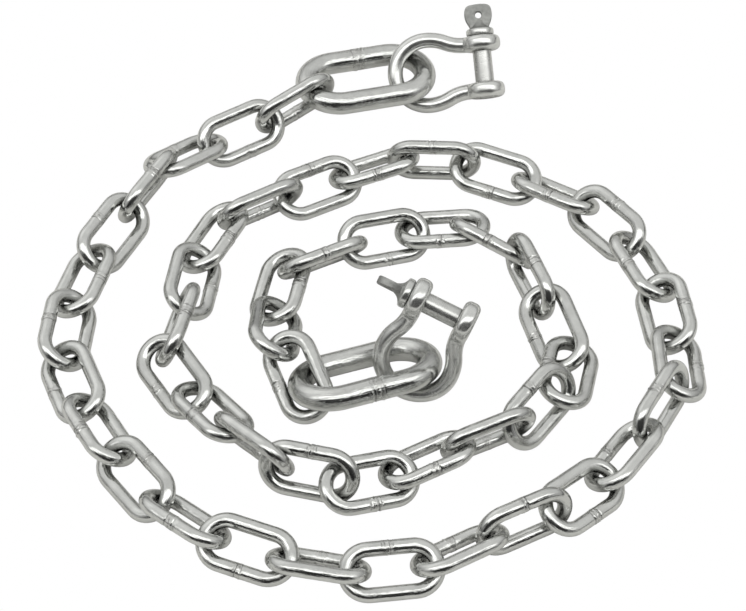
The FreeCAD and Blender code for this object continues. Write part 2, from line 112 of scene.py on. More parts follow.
# links whose weld is on their own +Y side; the others have it on -Y
WELD_ON_PLUS_Y = {"link_%02d" % number for number in (
    1, 2, 4, 6, 10, 13, 14, 15, 16, 18, 19, 22, 24, 25, 26, 27, 30, 31,
    32, 35, 36, 39, 40, 41, 42, 44, 45, 46, 47, 48, 49)}

# Links: half length of a straight side, centreline radius of the crowns (the
# round ends), wire diameter, swelling and half length of the weld, mesh steps.
LINK = SimpleNamespace(
    half=9.0, crown=9.0, wire=6.0, weld_swell=0.35, weld_half=2.6,
    crown_steps=24, side_steps=10, ring_steps=36, weld_steps=26)
END_LINK = SimpleNamespace(
    half=12.85, crown=14.8, wire=10.0, weld_swell=0.4, weld_half=4.2,
    crown_steps=40, side_steps=18, ring_steps=60, weld_steps=34)

# Shackle bow: crown centred on its origin, legs towards +X, ears at +Y and -Y.
BOW = SimpleNamespace(
    wire=7.0, crown=15.0, ear_reach=25.6, ear_mid=10.75, ear_thick=7.0, ear_dia=17.6,
    ear_round=2.7, bore_round=0.35, bore_clearance=0.22)
# Shackle pin: turned about its Z axis, threaded tip down, collar and flat tab up.
PIN = SimpleNamespace(
    dia=8.5, chamfer=0.8, turns=9, pitch=0.72, thread_depth=0.20,
    collar_dia=12.6, collar_thick=3.2, collar_gap=0.05,
    tab_wide=12.6, tab_high=11.4, tab_thick=3.2, hole_dia=3.0, hole_up=6.2)
PIN_TIP = -(BOW.ear_mid + BOW.ear_thick / 2)
COLLAR_START = BOW.ear_mid + BOW.ear_thick / 2 + PIN.collar_gap
TAB_BASE = COLLAR_START + PIN.collar_thick
BOW_VOXEL = 0.24
TAB_VOXEL = 0.2
RELAX_STEPS = 22
CREASE_ANGLE = math.radians(42)


# -------------------------------------------------------------- mesh helpers
def placement(position, yaw, pitch, roll):
    """Matrix from a piece's own millimetres to its place in metres."""
    yaw, pitch, roll = (math.radians(angle) for angle in (yaw, pitch, roll))
    turn = (Matrix.Rotation(yaw, 3, "Z") @ Matrix.Rotation(pitch, 3, "Y")
            @ Matrix.Rotation(roll, 3, "X"))
    matrix = turn.to_4x4()
    matrix.translation = Vector(position)
    return Matrix.Scale(MM, 4) @ matrix


def wave_noise(seed, count, low, high):
    """Seeded smooth noise in space, as a sum of plane waves."""
    rng = np.random.RandomState(seed)
    directions = rng.normal(size=(count, 3))
    directions /= np.linalg.norm(directions, axis=1)[:, None]
    frequency = rng.uniform(low, high, count)
    phase = rng.uniform(0, 2 * math.pi, count)
    height = rng.uniform(0.4, 1.0, count) / math.sqrt(count)

    def at(points):
        return (np.sin((points @ directions.T) * frequency + phase) * height).sum(1)

    return at


def shade_smooth(mesh):
    mesh.polygons.foreach_set("use_smooth", [True] * len(mesh.polygons))


def link_object(name, mesh):
    ob = bpy.data.objects.new(name, mesh)
    bpy.context.scene.collection.objects.link(ob)
    return ob


def new_object(name, verts, faces):
    mesh = bpy.data.meshes.new(name)
    mesh.from_pydata([tuple(vert) for vert in verts], [], faces)
    mesh.validate()
    mesh.update()
    shade_smooth(mesh)
    return link_object(name, mesh)


def set_attribute(mesh, name, values):
    """Store one float, or one vector, per vertex."""
    values = np.asarray(values, np.float32)
    if values.ndim == 2:
        attribute = mesh.attributes.new(name, "FLOAT_VECTOR", "POINT")
        attribute.data.foreach_set("vector", values.ravel())
    else:
        attribute = mesh.attributes.new(name, "FLOAT", "POINT")
        attribute.data.foreach_set("value", values)


def settle(mesh, place):
    mesh.transform(place)
    mesh.update()


def coordinates(mesh):
    flat = np.empty(len(mesh.vertices) * 3)
    mesh.vertices.foreach_get("co", flat)
    return flat.reshape(-1, 3)


def push_along_normals(mesh, points, distance):
    normals = np.array([vert.normal[:] for vert in mesh.vertices])
    points = points + normals * distance[:, None]
    mesh.vertices.foreach_set("co", points.ravel())
    return points


@contextmanager
def editing(mesh):
    bm = bmesh.new()
    bm.from_mesh(mesh)
    yield bm
    bm.to_mesh(mesh)
    bm.free()


def new_shell(name, verts, faces):
    """Object from closed shells, with all faces turned outward."""
    ob = new_object(name, verts, faces)
    with editing(ob.data) as bm:
        bmesh.ops.recalc_face_normals(bm, faces=bm.faces)
    return ob


def bake_modifiers(ob, name):
    """Replace an object by its evaluated mesh under a new name."""
    depsgraph = bpy.context.evaluated_depsgraph_get()
    mesh = bpy.data.meshes.new_from_object(ob.evaluated_get(depsgraph))
    mesh.name = name
    baked = link_object(name, mesh)
    bpy.data.objects.remove(ob)
    shade_smooth(mesh)
    return baked


def add_boolean(ob, operation, other):
    boolean = ob.modifiers.new("boolean", "BOOLEAN")
    boolean.operation = operation
    boolean.solver = "EXACT"
    boolean.object = other


def add_voxel_skin(ob, voxel):
    remesh = ob.modifiers.new("skin", "REMESH")
    remesh.mode = "VOXEL"
    remesh.voxel_size = voxel
    remesh.use_smooth_shade = True


def shell_union(name, shells, voxel, cutter=None):
    """One skin around overlapping closed shells: voxel union, bored if there is
    a cutter, then relaxed so that the pieces flow together as forged metal does."""
    verts, faces = [], []
    for shell_verts, shell_faces in shells:
        start = len(verts)
        verts += list(shell_verts)
        faces += [tuple(i + start for i in face) for face in shell_faces]
    raw = new_shell(name + "_raw", verts, faces)
    add_voxel_skin(raw, voxel)
    skin = bake_modifiers(raw, name + "_skin")
    if cutter:
        cutter_ob = new_shell(name + "_cut0", *cutter)
        add_boolean(skin, "DIFFERENCE", cutter_ob)
        add_voxel_skin(skin, voxel)
    relax = skin.modifiers.new("relax", "SMOOTH")
    relax.factor = 0.5
    relax.iterations = RELAX_STEPS
    union = bake_modifiers(skin, name)
    if cutter:
        bpy.data.objects.remove(cutter_ob)
    return union


def tube(path, radius, around=40):
    """Closed shell swept along an open path in the XY plane, with flat ends."""
    tangents = np.gradient(path, axis=0)
    tangents /= np.linalg.norm(tangents, axis=1)[:, None]
    normals = np.stack([-tangents[:, 1], tangents[:, 0], np.zeros(len(path))], 1)
    ring = np.linspace(0, 2 * math.pi, around, endpoint=False)
    radius = np.broadcast_to(np.asarray(radius, float), (len(path),))
    points = (path[:, None, :] + radius[:, None, None] * (
        np.cos(ring)[None, :, None] * normals[:, None, :]
        + np.sin(ring)[None, :, None] * np.array([0, 0, 1.0])))
    verts = [tuple(point) for point in points.reshape(-1, 3)]
    faces = []
    for i in range(len(path) - 1):
        here, there = i * around, (i + 1) * around
        for j in range(around):
            k = (j + 1) % around
            faces.append((here + j, here + k, there + k, there + j))
    faces.append(tuple(range(around))[::-1])
    faces.append(tuple((len(path) - 1) * around + j for j in range(around)))
    return verts, faces


def lathe(profile, origin, axis, around):
    """Closed shell turned from (radius, height) points. A profile that touches
    the axis at both ends is capped there; any other is closed on itself."""
    origin = Vector(origin)
    axis = Vector(axis).normalized()
    across = axis.orthogonal().normalized()
    beside = axis.cross(across)
    verts, faces, rows = [], [], []
    for radius, height in profile:
        if radius < 1e-9:
            rows.append([len(verts)])
            verts.append(tuple(origin + axis * height))
            continue
        rows.append(list(range(len(verts), len(verts) + around)))
        for j in range(around):
            angle = 2 * math.pi * j / around
            spoke = across * math.cos(angle) + beside * math.sin(angle)
            verts.append(tuple(origin + axis * height + spoke * radius))
    pairs = list(zip(rows[:-1], rows[1:]))
    if profile[0][0] > 1e-9 and profile[-1][0] > 1e-9:
        pairs.append((rows[-1], rows[0]))
    for low, high in pairs:
        for j in range(around):
            k = (j + 1) % around
            if len(low) == 1:
                faces.append((low[0], high[j], high[k]))
            elif len(high) == 1:
                faces.append((low[j], high[0], low[k]))
            else:
                faces.append((low[j], high[j], high[k], low[k]))
    return verts, faces


def slab(outline, y0, y1):
    """Closed plate: outline in (x, z) between y0 and y1."""
    count = len(outline)
    verts = [(x, y, z) for y in (y0, y1) for x, z in outline]
    faces = [tuple(range(count)), tuple(range(count, 2 * count))[::-1]]
    for i in range(count):
        k = (i + 1) % count
        faces.append((i, i + count, k + count, k))
    return verts, faces


def arc(centre_x, centre_y, radius, angles):
    return [(centre_x + radius * math.cos(angle), centre_y + radius * math.sin(angle))
            for angle in angles]


# --------------------------------------------------------------------- links
def link_path(size, side):
    """Closed centreline from the middle of the side that carries the weld.
    Returns points, outward normals in the link's plane, signed arc position."""
    half, crown = size.half, size.crown
    bend = math.pi * crown
    total = 4 * half + 2 * math.pi * crown
    # stations: dense over the weld, even along each other stretch
    weld_reach = size.weld_half * 1.45
    weld = np.linspace(0, weld_reach, size.weld_steps + 1)
    rest = np.linspace(weld_reach, half, size.side_steps // 4 + 1)[1:]
    bend_stations = np.linspace(0, bend, size.crown_steps + 1)[1:]
    far_side = np.linspace(0, 2 * half, size.side_steps + 1)[1:]
    stations = np.concatenate([
        weld, rest, half + bend_stations, half + bend + far_side,
        3 * half + bend + bend_stations, total - rest[::-1][1:], total - weld[::-1][:-1]])
    stations = np.unique(np.round(stations, 6))
    stations = stations[stations < total - 1e-6]
    points, normals = [], []
    for s in stations:
        if s <= half:
            normals.append((0, 1))
            points.append((s, crown))
        elif s <= half + bend:
            angle = (s - half) / crown
            normals.append((math.sin(angle), math.cos(angle)))
            points.append((half + crown * math.sin(angle), crown * math.cos(angle)))
        elif s <= 3 * half + bend:
            normals.append((0, -1))
            points.append((half - (s - half - bend), -crown))
        elif s <= 3 * half + 2 * math.pi * crown:
            angle = (s - 3 * half - bend) / crown
            normals.append((-math.sin(angle), -math.cos(angle)))
            points.append((-half - crown * math.sin(angle), -crown * math.cos(angle)))
        else:
            normals.append((0, 1))
            points.append((s - total, crown))
    points, normals = np.array(points), np.array(normals)
    points[:, 1] *= side
    normals[:, 1] *= side
    return points, normals, np.where(stations > total / 2, stations - total, stations)


def mark_weld(rng, along, turn, radius, weld_half, scale):
    """Cross ridges and nicks, small spots and flat bruises over the weld.
    Returns the new radius, the painted shade that darkens the nicks and pits, and the bright marks."""
    root = scale ** 0.5
    front = rng.uniform(-0.9, 1.5)      # angle round the wire that has most marks
    painted_nick_shade = np.zeros(along.shape)
    shine = np.zeros(along.shape)

    def patch(reach, spread, lengths, widths):
        centre = rng.uniform(-reach, reach) * weld_half
        facing = front + rng.uniform(-spread, spread)
        away = np.angle(np.exp(1j * (turn - facing)))
        length = rng.uniform(*lengths) * scale
        return np.exp(-((along - centre) / length) ** 2 - (away / rng.uniform(*widths)) ** 2)

    # lines across the wire, by turns ridge and nick
    for k in range(rng.randint(3, 6)):
        centre = rng.uniform(-1.0, 1.0) * 0.85 * weld_half
        width = rng.uniform(0.15, 0.28) * root
        facing = np.cos(turn - front - rng.uniform(-1.6, 1.6))
        window = 0.06 + 0.94 * np.clip(0.5 + 0.62 * facing, 0, 1) ** 1.5
        wobble = 0.16 * np.sin(turn * rng.randint(1, 4) + rng.uniform(0, 6))
        line = np.exp(-((along - centre - wobble) / width) ** 2)
        if k % 2:
            radius = radius - rng.uniform(0.14, 0.26) * root * line * window
            # painted shade: each nick is also darkened in the colour
            painted_nick_shade = np.maximum(painted_nick_shade, line * window * rng.uniform(0.5, 1.0))
        else:
            radius = radius + rng.uniform(0.10, 0.20) * root * line * window
            shine = np.maximum(shine, line * window)
    # spots: every third one raised, the rest pits
    for k in range(rng.randint(6, 11)):
        spot = patch(reach=1.05, spread=2.2, lengths=(0.22, 0.5), widths=(0.12, 0.34))
        if k % 3 == 0:
            radius = radius + rng.uniform(0.10, 0.22) * root * spot
            shine = np.maximum(shine, spot)
        else:
            radius = radius - rng.uniform(0.12, 0.26) * root * spot
            # painted shade: each pit is also darkened in the colour
            painted_nick_shade = np.maximum(painted_nick_shade, 0.7 * spot)
    # one or two flat bruises
    for k in range(rng.randint(1, 3)):
        dent = patch(reach=0.9, spread=1.4, lengths=(0.5, 0.95), widths=(0.30, 0.6))
        radius = radius - rng.uniform(0.16, 0.34) * root * dent
        shine = np.maximum(shine, 0.8 * dent)
    return radius, painted_nick_shade, shine


def closed_grid_faces(rows, columns, flip):
    faces = []
    for i in range(rows):
        here, there = i * columns, (i + 1) % rows * columns
        for j in range(columns):
            k = (j + 1) % columns
            face = (here + j, there + j, there + k, here + k)
            faces.append(face[::-1] if flip else face)
    return faces


def build_link(name, place, seed, size, side):
    """Link in its own XY plane, long way along X, weld on the given Y side."""
    wire_radius = size.wire / 2
    scale = size.weld_half / LINK.weld_half
    points, normals, stations = link_path(size, side)
    rng = np.random.RandomState(seed)
    ring = np.linspace(0, 2 * math.pi, size.ring_steps, endpoint=False)
    along, turn = np.meshgrid(stations, ring, indexing="ij")
    along = along - rng.uniform(-0.7, 0.7) * scale
    swell = size.weld_swell * 0.22 * np.exp(-(along / (0.75 * size.weld_half)) ** 2)
    radius = np.full(along.shape, wire_radius) + swell
    radius, painted_nick_shade, shine = mark_weld(rng, along, turn, radius, size.weld_half, scale)

    # slight hammering everywhere, rougher skin over the weld
    cos_turn, sin_turn = np.cos(turn), np.sin(turn)
    section = [cos_turn * wire_radius, sin_turn * wire_radius]
    unrolled = np.stack(section + [along], -1).reshape(-1, 3)
    hammering = wave_noise(seed + 5, 9, 0.5, 1.3)(unrolled).reshape(radius.shape)
    radius = radius + 0.016 * size.wire / LINK.wire * hammering
    weld_noise = wave_noise(seed + 7, 12, 1.5, 4.5)(unrolled).reshape(radius.shape)
    near = np.exp(-(along / (size.weld_half * 0.85)) ** 4)
    radius = radius + 0.035 * weld_noise * near * scale

    verts = np.empty(along.shape + (3,))
    for axis in (0, 1):
        verts[..., axis] = points[:, None, axis] + radius * cos_turn * normals[:, None, axis]
    verts[..., 2] = radius * sin_turn
    ob = new_object(name, verts.reshape(-1, 3), closed_grid_faces(*along.shape, flip=side < 0))

    mesh = ob.data
    weld = np.clip(near * (0.55 + 0.5 * weld_noise) - 0.5 * shine, 0, 1)
    # the inside of both crowns is burnished where the next link bears
    wear = np.clip((-cos_turn) * (np.abs(points[:, 0:1]) > size.half), 0, 1) ** 2
    # coordinates squeezed along the wire, for long draw lines
    draw = np.stack(section + [np.abs(along) * 0.09], -1).reshape(-1, 3)
    set_attribute(mesh, "weld", weld.ravel())
    set_attribute(mesh, "wear", wear.ravel())
    # painted shade for the nicks and pits, stored per vertex
    set_attribute(mesh, "painted_nick_shade", painted_nick_shade.ravel())
    set_attribute(mesh, "draw", draw)
    settle(mesh, place)
    # turn the faces outward if the enclosed volume comes out negative
    bm = bmesh.new()
    bm.from_mesh(mesh)
    if bm.calc_volume(signed=True) < 0:
        bmesh.ops.reverse_faces(bm, faces=bm.faces)
        bm.to_mesh(mesh)
    bm.free()
    shade_smooth(mesh)
    return ob


# ------------------------------------------------------------------- shackle
def bow_path():
    """Centreline from the +Y ear round the crown to the -Y ear; each leg is an
    S of two equal arcs that draws in from the crown to the ear."""
    crown, ear_mid = BOW.crown, BOW.ear_mid
    leg = BOW.ear_reach - 0.42 * BOW.ear_dia
    bend = ((leg / 2) ** 2 + ((crown - ear_mid) / 2) ** 2) / (crown - ear_mid)
    sweep = math.asin(leg / 2 / bend)
    upper = []
    for angle in np.linspace(0, sweep, 17)[1:]:
        upper.append((bend * math.sin(angle), crown - bend + bend * math.cos(angle)))
    for angle in np.linspace(sweep, 0, 17)[1:]:
        upper.append((leg - bend * math.sin(angle), ear_mid + bend - bend * math.cos(angle)))
    upper.append((leg + 1.0, ear_mid))
    half_turn = [(crown * math.cos(angle), crown * math.sin(angle))
                 for angle in np.linspace(math.pi / 2, 1.5 * math.pi, 73)]
    outline = upper[::-1] + half_turn + [(x, -y) for x, y in upper]
    return np.array([(x, y, 0) for x, y in outline])


def ear_profile():
    """Closed (radius, height) profile of a bored disc with rounded rims."""
    inner, outer = BOW.bore_round, BOW.ear_round
    bore = PIN.dia / 2 + BOW.bore_clearance + inner
    rim = BOW.ear_dia / 2 - outer
    half = BOW.ear_thick / 2
    corners = [  # centre radius, centre height, rounding, first angle in half turns
        (bore, -half + inner, inner, 1.0), (rim, -half + outer, outer, 1.5),
        (rim, half - outer, outer, 0.0), (bore, half - inner, inner, 0.5)]
    profile = []
    for radius, height, rounding, start in corners:
        angles = np.linspace(start * math.pi, (start + 0.5) * math.pi, 8)
        profile += arc(radius, height, rounding, angles)
    return profile


def build_bow(name, place, seed):
    path = bow_path()
    shells = [tube(path, BOW.wire / 2)]
    for side, leg in ((1, path[:14][::-1]), (-1, path[-14:])):
        shells.append(lathe(ear_profile(), (BOW.ear_reach, side * BOW.ear_mid, 0), (0, 1, 0), 96))
        # the wire swells gently as it runs into the ear
        t = np.linspace(0, 1, len(leg))
        shells.append(tube(leg, BOW.wire / 2 - 0.15 + 0.25 * t ** 2))
    ob = shell_union(name, shells, BOW_VOXEL)
    mesh = ob.data
    points = coordinates(mesh)
    # forging lumps, weaker towards the ears
    off_ear = np.clip((BOW.ear_reach - 6.5 - points[:, 0]) / 3.0, 0, 1)
    lumps = wave_noise(seed, 10, 0.25, 0.8)(points) * 0.014 * (0.4 + 0.6 * off_ear)
    points = push_along_normals(mesh, points, lumps)
    set_attribute(mesh, "weld", np.zeros(len(points)))
    from_centre = np.hypot(points[:, 0], points[:, 1])
    set_attribute(mesh, "wear", np.clip(1 - from_centre / BOW.crown, 0, 1))
    settle(mesh, place)
    return ob


def shaft_profile():
    """(radius, height) from the dished tip, over the thread, to the collar top."""
    shaft, collar = PIN.dia / 2, PIN.collar_dia / 2
    z = PIN_TIP + PIN.chamfer
    profile = [(0, PIN_TIP + 0.35), (shaft * 0.40, PIN_TIP + 0.35), (shaft * 0.46, PIN_TIP),
               (shaft - PIN.chamfer, PIN_TIP), (shaft, z)]
    for _ in range(PIN.turns):
        profile += [(shaft, z + 0.12), (shaft - PIN.thread_depth, z + 0.36), (shaft, z + 0.60)]
        z += PIN.pitch
    profile += [(shaft, z + 0.1), (shaft, COLLAR_START - 0.02), (collar - 0.9, COLLAR_START)]
    low_round = np.radians(np.linspace(-90, 0, 7))
    high_round = np.radians(np.linspace(0, 80, 7))
    profile += arc(collar - 0.9, COLLAR_START + 0.9, 0.9, low_round)
    profile += arc(collar - 1.1, TAB_BASE - 1.1, 1.1, high_round)
    profile += [(collar * 0.62, TAB_BASE), (collar * 0.5, TAB_BASE + 0.02), (0, TAB_BASE + 0.02)]
    return profile


def neck_profile():
    """(radius, height) of the flare from the collar up into the tab."""
    collar = PIN.collar_dia / 2
    flare = [(0.86, -0.9), (0.82, 0.05), (0.60, 0.75), (0.47, 1.6), (0.38, 2.6), (0.31, 3.7)]
    return ([(0, TAB_BASE - 0.9)]
            + [(collar * part, TAB_BASE + up) for part, up in flare]
            + [(PIN.tab_thick / 2 * 0.8, TAB_BASE + 4.9), (0, TAB_BASE + 5.0)])


def tab_outline():
    """(x, z) outline of the tab: five Bezier curves, mirrored about x = 0."""
    wide, high, base = PIN.tab_wide / 2, PIN.tab_high, TAB_BASE
    right = [
        (0.60 * wide, base - 1.0), (0.64 * wide, base + 1.2), (0.98 * wide, base + 2.6),
        (wide, base + 0.56 * high), (wide, base + 0.80 * high), (0.92 * wide, base + 0.95 * high),
        (0.50 * wide, base + high - 0.25), (0.22 * wide, base + high + 0.05)]
    control = right + [(-x, z) for x, z in reversed(right)]
    outline = []
    for start in range(0, 15, 3):
        for t in np.linspace(0, 1, 14, endpoint=False):
            outline.append(tuple(
                (1 - t) ** 3 * a + 3 * (1 - t) ** 2 * t * b + 3 * (1 - t) * t * t * c + t ** 3 * d
                for a, b, c, d in zip(*control[start:start + 4])))
    return outline + [control[-1]]


def build_pin(name, place, seed):
    half_thick, hole = PIN.tab_thick / 2, PIN.hole_dia / 2
    tab_shells = [slab(tab_outline(), -half_thick, half_thick),
                  lathe(neck_profile(), (0, 0, 0), (0, 0, 1), 64)]
    hole_cutter = lathe([(0, -4), (hole, -4), (hole, 4), (0, 4)],
                        (0, 0, TAB_BASE + PIN.hole_up), (0, 1, 0), 48)
    tab = shell_union(name + "_tab", tab_shells, TAB_VOXEL, hole_cutter)
    # shaft and collar are a crisp turned shell, joined to the soft tab
    shaft = new_shell(name + "_shaft", *lathe(shaft_profile(), (0, 0, 0), (0, 0, 1), 128))
    add_boolean(shaft, "UNION", tab)
    ob = bake_modifiers(shaft, name)
    bpy.data.objects.remove(tab)
    mesh = ob.data
    # no slivers left along the seam of the union
    with editing(mesh) as bm:
        bmesh.ops.dissolve_degenerate(bm, dist=0.003, edges=bm.edges)
        bmesh.ops.triangulate(bm, faces=[face for face in bm.faces if len(face.verts) > 4])
    # cast lumps on the tab, but not in its hole
    points = coordinates(mesh)
    x, z = points[:, 0], points[:, 2]
    cast = np.clip((z - TAB_BASE + 0.4) / 0.8, 0, 1)
    lumps = wave_noise(seed, 14, 0.5, 1.6)(points) * 0.06 * cast
    lumps[np.hypot(x, z - TAB_BASE - PIN.hole_up) < hole + 0.3] = 0
    push_along_normals(mesh, points, lumps)
    threaded = z - PIN_TIP < PIN.turns * PIN.pitch + 1.2
    set_attribute(mesh, "weld", 0.35 * threaded)
    set_attribute(mesh, "wear", np.zeros(len(points)))
    set_attribute(mesh, "cast", cast)
    # keep turned edges crisp and cast faces soft
    with editing(mesh) as bm:
        for edge in bm.edges:
            edge.smooth = not (len(edge.link_faces) == 2
                               and edge.calc_face_angle(0) > CREASE_ANGLE)
    settle(mesh, place)
    return ob


# ----------------------------------------------------------------- materials
class Graph:
    """Short calls for adding and linking the nodes of a shader tree."""

    def __init__(self, tree):
        self.nodes, self.links = tree.nodes, tree.links

    def add(self, kind, **settings):
        node = self.nodes.new("ShaderNode" + kind)
        for name, value in settings.items():
            setattr(node, name, value)
        return node

    def feed(self, socket, value):
        """Link a socket, or set its value; colours are given without alpha."""
        if isinstance(value, bpy.types.NodeSocket):
            self.links.new(value, socket)
        elif socket.type == "RGBA":
            socket.default_value = (*value, 1.0)
        else:
            socket.default_value = value

    def math(self, operation, *values):
        node = self.add("Math", operation=operation)
        for socket, value in zip(node.inputs, values):
            self.feed(socket, value)
        return node.outputs[0]

    def scale(self, source, by):
        return self.math("MULTIPLY", source, by)

    def remap(self, source, span, to=(0.0, 1.0), curve="LINEAR"):
        node = self.add("MapRange", interpolation_type=curve)
        for name, value in zip(("From Min", "From Max", "To Min", "To Max"), (*span, *to)):
            node.inputs[name].default_value = value
        self.feed(node.inputs["Value"], source)
        return node.outputs[0]

    def mix(self, factor, under, over):
        node = self.add("Mix", data_type="RGBA")
        for i, value in ((0, factor), (6, under), (7, over)):
            self.feed(node.inputs[i], value)
        return node.outputs[2]

    def mix_shader(self, factor, first, second):
        node = self.add("MixShader")
        for socket, value in zip(node.inputs, (factor, first, second)):
            self.feed(socket, value)
        return node.outputs[0]

    def noise(self, vector, scale, detail, roughness=0.55):
        node = self.add("TexNoise")
        node.inputs["Scale"].default_value = scale
        node.inputs["Detail"].default_value = detail
        node.inputs["Roughness"].default_value = roughness
        self.feed(node.inputs["Vector"], vector)
        return node.outputs[0]

    def attribute(self, name, output="Fac"):
        return self.add("Attribute", attribute_name=name).outputs[output]


WELD_GREY = (0.36, 0.35, 0.335)
WELD_PIT = (0.05, 0.045, 0.04)
# painted shade colour for the weld's nicks and pits
PAINTED_NICK_SHADE_DARK = (0.05, 0.05, 0.048)
CAST_DARK = (0.31, 0.315, 0.305)
CAST_PALE = (0.43, 0.435, 0.42)
# painted shade colour for the dark outline at grazing edges
PAINTED_RIM_SHADE_GREY = (0.16, 0.16, 0.155)
# painted shade colour for the hollows between touching pieces
PAINTED_HOLLOW_SHADE_GREY = (0.10, 0.10, 0.095)


def steel(name, base, rough, grain, draw, cast=0.0, seed=0.0, metal=1.0):
    """Stainless steel. grain, draw and cast are bump weights of the polish, the
    draw lines and the cast skin; seed shifts the noise; metal is metalness."""
    material = bpy.data.materials.new(name)
    material.use_nodes = True
    g = Graph(material.node_tree)
    g.nodes.clear()
    output = g.add("OutputMaterial")
    surface = g.add("BsdfPrincipled")
    g.feed(output.inputs[0], surface.outputs[0])
    surface.inputs["Metallic"].default_value = metal
    texture = g.add("TexCoord")
    mapping = g.add("Mapping")
    mapping.inputs["Location"].default_value = (seed, seed * 0.37, -seed * 0.71)
    g.feed(mapping.inputs[0], texture.outputs["Object"])
    vector = mapping.outputs[0]

    blotch = g.noise(vector, scale=160.0, detail=4.0)       # slow changes, about 6 mm
    fine = g.noise(vector, scale=1500.0, detail=2.0)        # polishing grain
    pit = g.noise(vector, scale=700.0, detail=5.0, roughness=0.7)
    weld = g.attribute("weld")
    wear = g.attribute("wear")

    # colour: cloudy base, grey heat tint and dark pits on the weld, painted shade in the nicks and
    # pits
    tone = g.remap(blotch, span=(0.3, 0.7))
    shade = tuple(value * 0.90 for value in base)
    light = tuple(min(1, value * 1.06) for value in base)
    colour = g.mix(tone, under=shade, over=light)
    heat = g.math("MULTIPLY", weld, g.remap(pit, span=(0.35, 0.65), to=(0.35, 1.0)))
    colour = g.mix(g.scale(heat, by=0.55), under=colour, over=WELD_GREY)
    pits = g.remap(pit, span=(0.60, 0.72))
    colour = g.mix(g.math("MULTIPLY", pits, g.scale(weld, by=0.85)), under=colour, over=WELD_PIT)
    # painted shade: the nicks and pits of the weld are darkened in the colour
    colour = g.mix(g.scale(g.attribute("painted_nick_shade"), by=0.8), under=colour, over=PAINTED_NICK_SHADE_DARK)
    if cast:
        cast_skin = g.attribute("cast")
        grey = g.mix(g.remap(pit, span=(0.35, 0.65)), under=CAST_DARK, over=CAST_PALE)
        colour = g.mix(cast_skin, under=colour, over=grey)
    # painted shade: the colour darkens towards grazing edges, a painted dark outline along every
    # silhouette
    facing = g.add("LayerWeight")
    facing.inputs["Blend"].default_value = 0.5
    rim = g.remap(facing.outputs["Facing"], span=(0.74, 0.96), to=(0.0, 0.82))
    colour = g.mix(rim, under=colour, over=PAINTED_RIM_SHADE_GREY)
    # painted shade: an ambient occlusion mask darkens the colour in the hollows where links bear on
    # each other
    occlusion = g.add("AmbientOcclusion", samples=6)
    occlusion.inputs["Distance"].default_value = 0.0075
    painted_hollow_shade = g.remap(occlusion.outputs["AO"], span=(0.10, 0.78), to=(0.62, 0.0))
    colour = g.mix(painted_hollow_shade, under=colour, over=PAINTED_HOLLOW_SHADE_GREY)
    g.feed(surface.inputs["Base Color"], colour)

    # roughness: cloudy polish, matt on the weld and on cast skin, worn bright
    roughness = g.math(
        "ADD", g.remap(blotch, span=(0.3, 0.7), to=(rough * 0.75, rough * 1.35)),
        g.remap(fine, span=(0.35, 0.65), to=(-0.02, 0.03)))
    roughness = g.math("ADD", roughness, g.scale(weld, by=0.22))
    roughness = g.math("SUBTRACT", roughness, g.scale(wear, by=0.05))
    if cast:
        roughness = g.math("ADD", roughness, g.scale(cast_skin, by=0.27))
    least_roughness = 0.05
    roughness = g.math("MAXIMUM", roughness, least_roughness)
    g.feed(surface.inputs["Roughness"], roughness)

    # bump: grain, long shallow draw lines, pitting on the weld and cast skin
    lines = g.noise(g.attribute("draw", "Vector"), scale=1.1, detail=3.0, roughness=0.6)
    height = g.math("ADD", g.scale(fine, by=grain), g.scale(lines, by=draw))
    height = g.math("ADD", height, g.scale(blotch, by=grain * 2.2))
    height = g.math("ADD", height, g.scale(g.math("MULTIPLY", pit, weld), by=0.9))
    if cast:
        height = g.math("ADD", height, g.scale(g.math("MULTIPLY", pit, cast_skin), by=cast))
    bump = g.add("Bump")
    bump.inputs["Strength"].default_value = 0.30
    bump.inputs["Distance"].default_value = 0.00030
    g.feed(bump.inputs["Height"], height)
    g.feed(surface.inputs["Normal"], bump.outputs[0])
    return material


# ----------------------------------------------------------------- the chain
# kind: (material, slot)
FINISH = {
    "L": (steel("stainless_link", base=(0.69, 0.695, 0.68), rough=0.115, grain=0.16,
                draw=2.0), "link_steel"),
    "E": (steel("stainless_end_link", base=(0.67, 0.675, 0.66), rough=0.125, grain=0.18,
                draw=2.2, seed=3.1), "end_link_steel"),
    "B": (steel("stainless_bow", base=(0.75, 0.755, 0.74), rough=0.20, grain=0.14,
                draw=0.0, seed=5.3, metal=0.88), "bow_steel"),
    "P": (steel("stainless_pin", base=(0.69, 0.695, 0.68), rough=0.22, grain=0.16,
                draw=0.0, cast=0.8, seed=7.7, metal=0.92), "pin_steel"),
}


def build_chain():
    for index, (node, kind, x, y, z, yaw, pitch, roll) in enumerate(LAYOUT):
        piece = node + "_steel"
        place = placement((x, y, z), yaw, pitch, roll)
        if kind == "B":
            ob = build_bow(piece, place, 40 + index)
        elif kind == "P":
            ob = build_pin(piece, place, 60 + index)
        else:
            size = LINK if kind == "L" else END_LINK
            side = 1 if node in WELD_ON_PLUS_Y else -1
            ob = build_link(piece, place, 1000 + index, size, side)
        material, slot = FINISH[kind]
        ob.data.materials.append(material)
        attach(ob, node)
        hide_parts(node)


